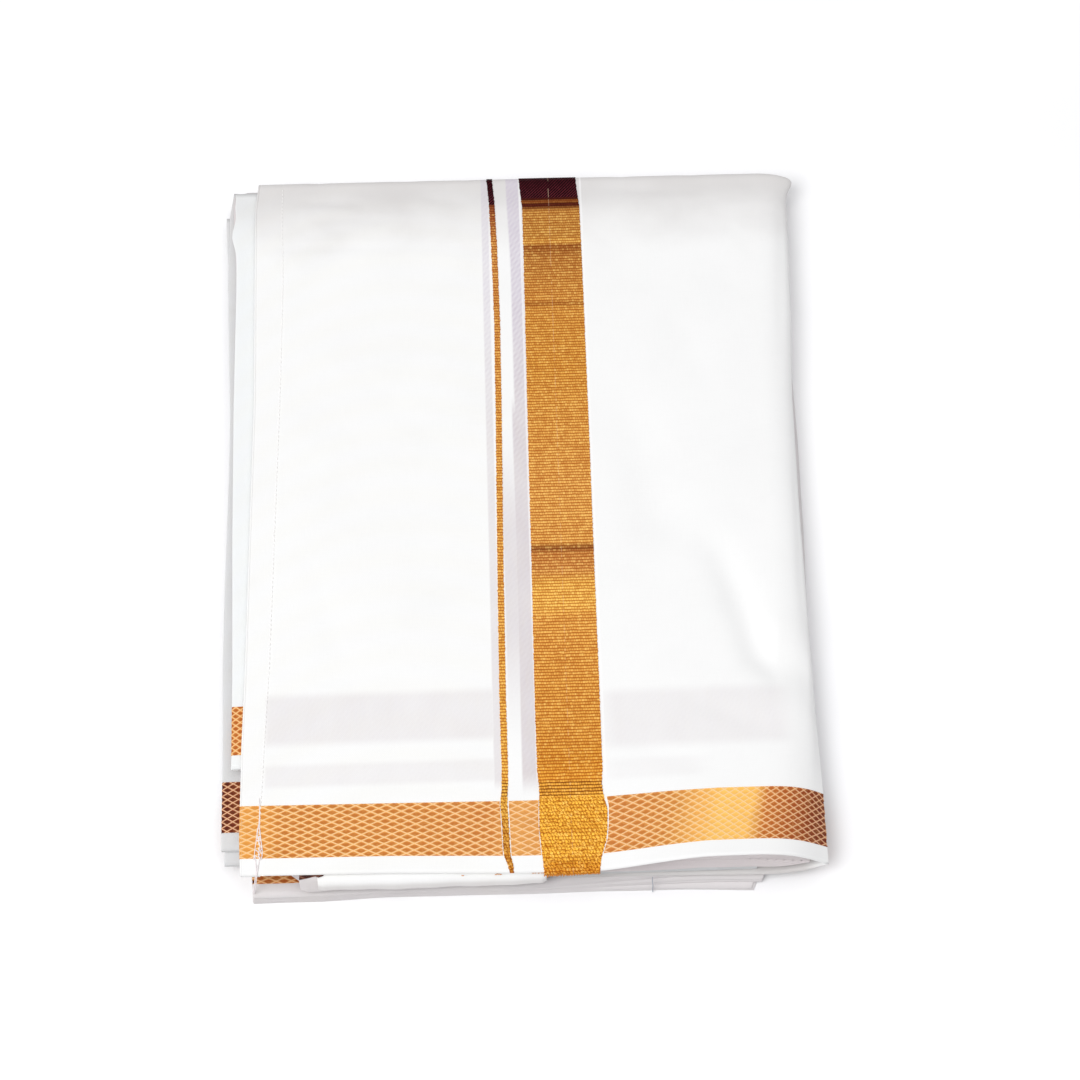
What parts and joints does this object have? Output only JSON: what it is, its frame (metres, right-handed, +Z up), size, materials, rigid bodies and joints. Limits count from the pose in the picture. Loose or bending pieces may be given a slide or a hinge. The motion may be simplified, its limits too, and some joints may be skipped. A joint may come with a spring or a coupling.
{
  "type": "folded dhoti cloth",
  "caption": "Folded white cotton dhoti with a woven gold border, gold end band and stitched end hem, lying flat.",
  "frame": {"origin": "on the floor under the middle of the folded stack", "axes": "+Z up, +Y from the bordered front edge to the rolled back fold, +X from the hemmed edge to the right fold"},
  "size_m": [0.2508, 0.344, 0.0238],
  "materials": {
    "white_cotton": "fine plain-woven bleached cotton, soft matt, slightly see-through",
    "shaded_cotton": "the same cotton seen at its folded edges, matt",
    "gold_zari": "woven metallic gold thread over maroon silk, with a soft gleam",
    "white_thread": "twisted cotton sewing thread, matt"
  },
  "bodies": {
    "root": {"cover": "white_cotton", "hem": "white_cotton", "second_ply": "white_cotton", "left_ply_upper": "white_cotton", "left_ply_lower": "white_cotton", "front_ply": "white_cotton", "inner_plies": "shaded_cotton", "base_plies": "shaded_cotton"}
  },
  "joints": []
}
